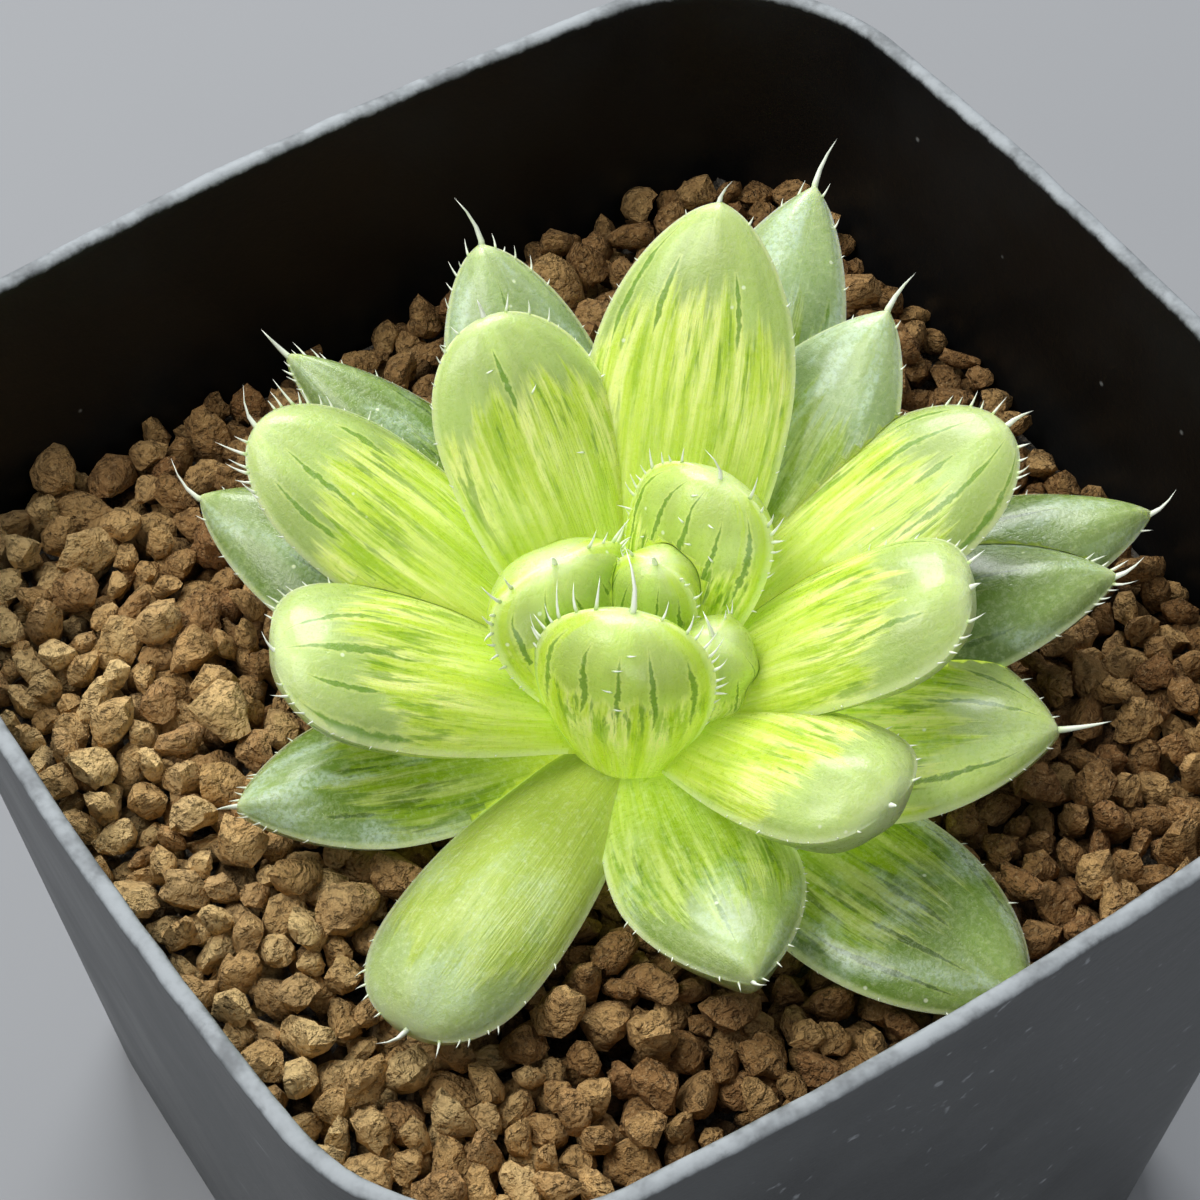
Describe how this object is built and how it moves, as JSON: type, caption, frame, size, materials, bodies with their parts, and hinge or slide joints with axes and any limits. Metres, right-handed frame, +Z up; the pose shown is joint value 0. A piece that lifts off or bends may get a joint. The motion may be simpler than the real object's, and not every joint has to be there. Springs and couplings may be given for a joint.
{
  "type": "potted haworthia",
  "caption": "Low rosette of juicy, toothed, windowed leaves growing in clay granules in a small thin-walled black square pot with rounded corners.",
  "frame": {"origin": "middle of the pot's footprint, on the surface that it stands on", "axes": "+Z up, +X and +Y along the sides of the square pot"},
  "size_m": [0.076, 0.076, 0.0755],
  "materials": {
    "pot": "smooth black moulded plastic, thin, with a pale worn rim and light scuffs",
    "granules": "rough dry baked clay granules, ochre to dark brown",
    "stem": "pale fleshy stem and roots",
    "leaf_bright": "juicy lime green leaf with cream and green streaks and a pale translucent tip",
    "leaf_grey": "grey-green leaf with a translucent window",
    "leaf_green": "mid green leaf with paler streaks and a soft window",
    "leaf_dark": "glossy dark green leaf with silvery streaks"
  },
  "bodies": {
    "root": {"pot": "pot", "soil": "granules", "stem": "stem", "leaf_heart_front": "leaf_bright", "leaf_heart_bud": "leaf_bright", "leaf_heart_right": "leaf_bright", "leaf_heart_left": "leaf_bright", "leaf_heart_side": "leaf_bright", "leaf_upper_01": "leaf_bright", "leaf_upper_02": "leaf_bright", "leaf_upper_03": "leaf_bright", "leaf_upper_04": "leaf_bright", "leaf_upper_05": "leaf_bright", "leaf_upper_06": "leaf_bright", "leaf_upper_07": "leaf_bright", "leaf_lower_01": "leaf_grey", "leaf_lower_02": "leaf_grey", "leaf_lower_03": "leaf_grey", "leaf_lower_04": "leaf_dark", "leaf_lower_05": "leaf_dark", "leaf_lower_06": "leaf_dark", "leaf_lower_07": "leaf_dark", "leaf_lower_11": "leaf_dark", "leaf_lower_12": "leaf_dark", "leaf_lower_08": "leaf_green", "leaf_lower_09": "leaf_green", "leaf_lower_10": "leaf_green"}
  },
  "joints": []
}
